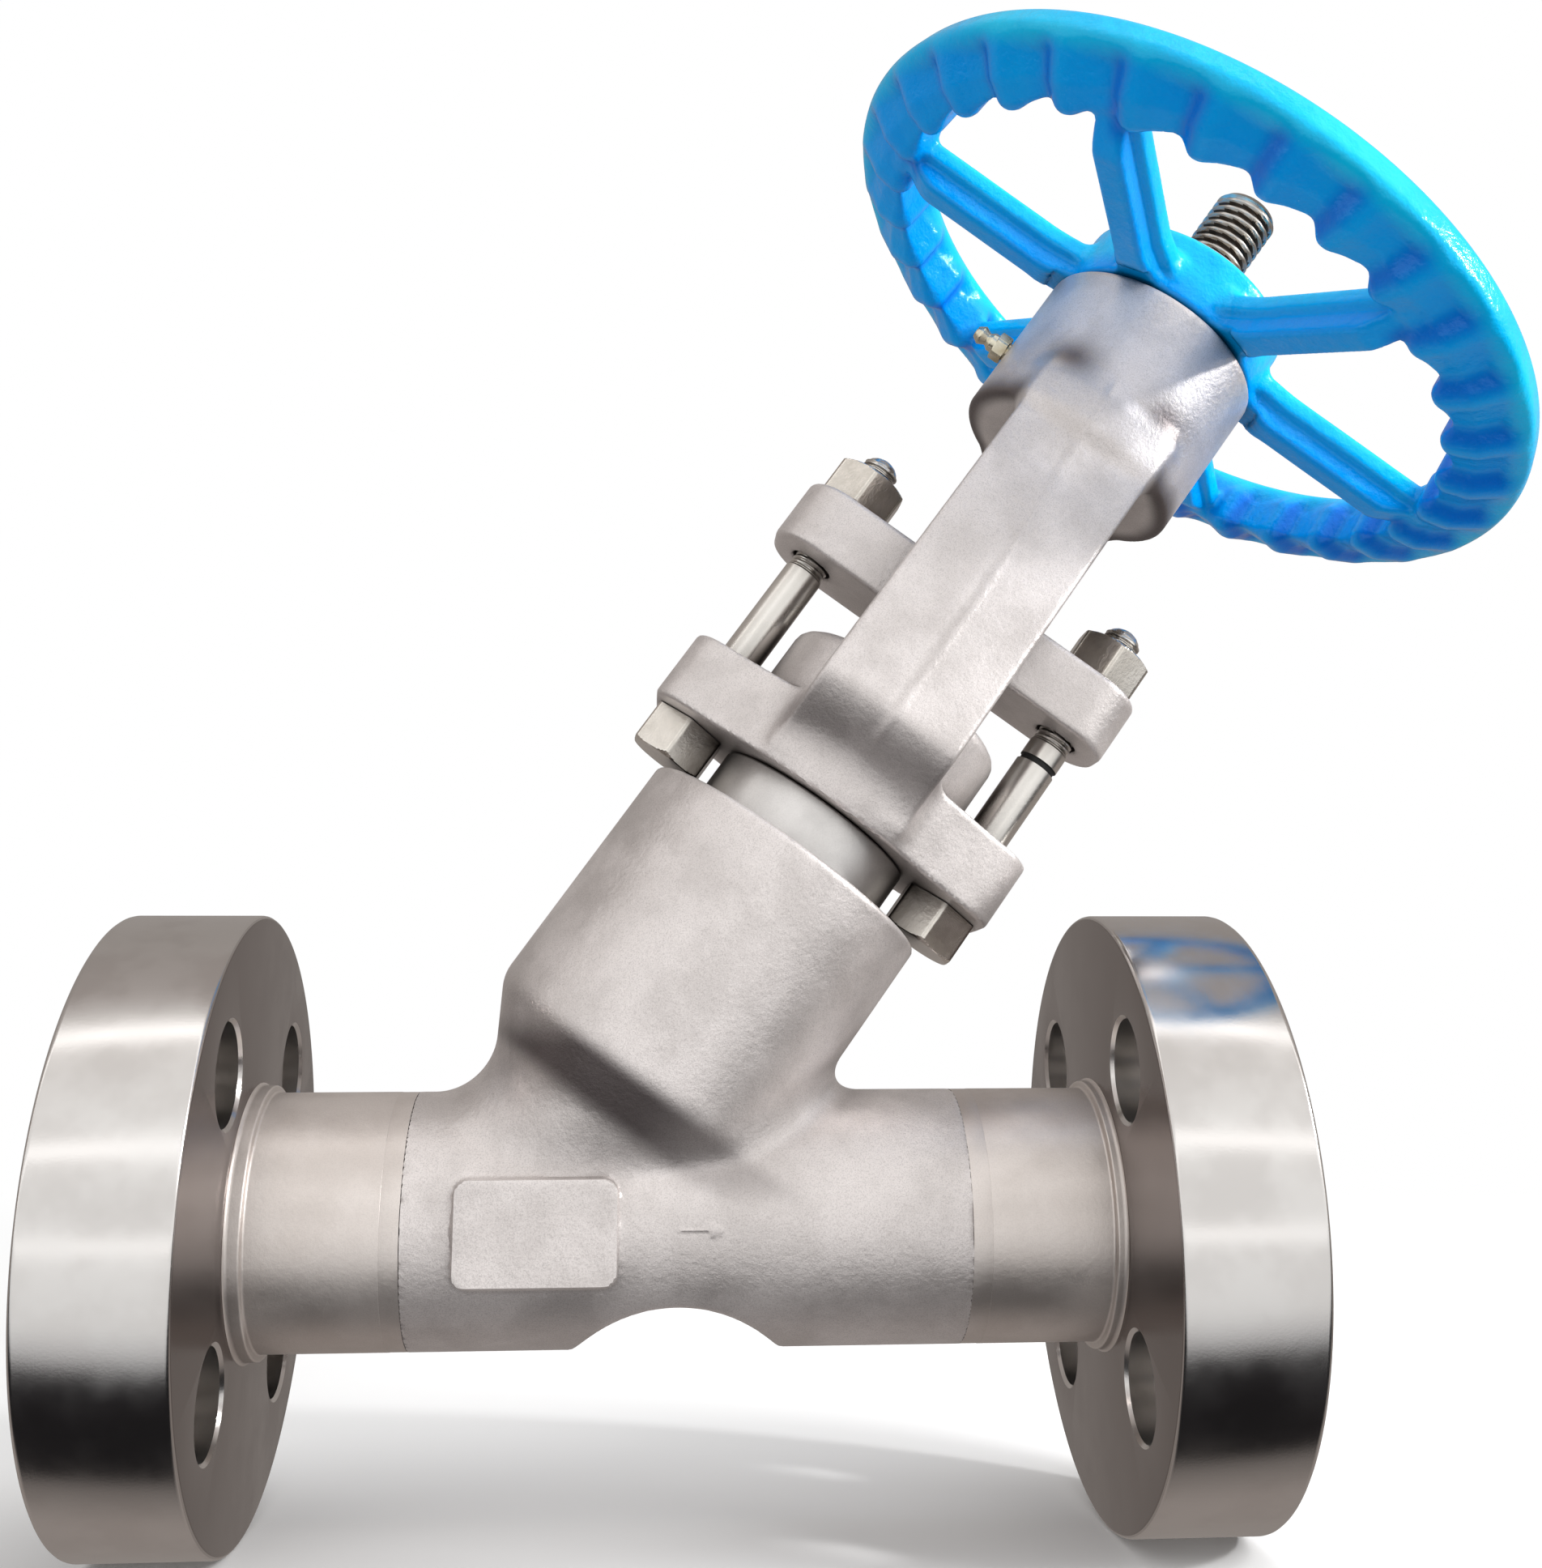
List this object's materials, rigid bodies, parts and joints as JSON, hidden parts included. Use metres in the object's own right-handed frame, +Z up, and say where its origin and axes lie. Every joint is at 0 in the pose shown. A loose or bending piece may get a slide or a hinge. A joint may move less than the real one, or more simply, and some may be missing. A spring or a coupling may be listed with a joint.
{
  "type": "globe valve",
  "caption": "Flanged inclined-stem globe valve of forged stainless steel with a bolted gland, an open yoke with two legs and a painted handwheel that lifts the stem.",
  "frame": {"origin": "centre of the inlet flange's raised sealing face, on the pipe axis", "axes": "+X along the pipe from inlet to outlet, +Z up, so that the stem lies in the XZ plane and leans 54 degrees up from +X"},
  "size_m": [0.3969, 0.2278, 0.414],
  "materials": {
    "forged_stainless": "blasted matt",
    "weld_metal": "dressed weld",
    "turned_stainless": "turned, satin",
    "bright_stainless": "bright",
    "hard_facing": "ground",
    "graphite": "matt",
    "bronze": "machined",
    "plated_brass": "plated",
    "blue_paint": "gloss over a cast surface"
  },
  "bodies": {
    "valve_body": {"body": "forged_stainless", "inlet_flange": "turned_stainless", "outlet_flange": "turned_stainless", "inlet_weld": "weld_metal", "outlet_weld": "weld_metal", "seat_ring": "hard_facing", "backseat_bush": "hard_facing", "bonnet_gasket": "graphite", "bonnet": "forged_stainless", "packing_base_ring": "turned_stainless", "packing_ring_1": "graphite", "packing_ring_2": "graphite", "packing_ring_3": "graphite", "packing_ring_4": "graphite", "packing_ring_5": "graphite", "gland": "turned_stainless", "gland_flange": "forged_stainless", "gland_bolt_left": "bright_stainless", "gland_bolt_right": "bright_stainless", "gland_nut_left": "bright_stainless", "gland_nut_right": "bright_stainless", "yoke": "forged_stainless", "yoke_lock_nut": "turned_stainless", "bearing_lower": "bright_stainless", "bearing_upper": "bright_stainless", "sleeve_retainer": "turned_stainless", "retainer_set_screw": "turned_stainless", "grease_nipple": "plated_brass"},
    "wheel_and_sleeve": {"handwheel": "blue_paint", "yoke_sleeve": "bronze", "handwheel_key": "turned_stainless", "handwheel_washer": "bright_stainless", "handwheel_nut": "bright_stainless"},
    "rising_stem": {"stem": "turned_stainless", "stem_guide": "turned_stainless", "stem_guide_screw": "turned_stainless"},
    "swivel_disc": {"disc": "hard_facing", "disc_nut": "turned_stainless"}
  },
  "joints": [
    {"name": "handwheel_spin", "type": "hinge", "parent": "valve_body", "child": "wheel_and_sleeve", "pos_m": [0.1122, 0, 0], "axis": [0.5878, 0, 0.809], "range_deg": [0, 1440]},
    {"name": "stem_slide", "type": "slide", "parent": "valve_body", "child": "rising_stem", "axis": [0.5878, 0, 0.809], "range_m": [0, 0.012]},
    {"name": "disc_swivel", "type": "hinge", "parent": "rising_stem", "child": "swivel_disc", "pos_m": [0.1122, 0, 0], "axis": [0.5878, 0, 0.809], "continuous": true}
  ],
  "couplings": [
    {"joint": "stem_slide", "follows": "handwheel_spin", "m_per_rad": 0.00047746}
  ]
}
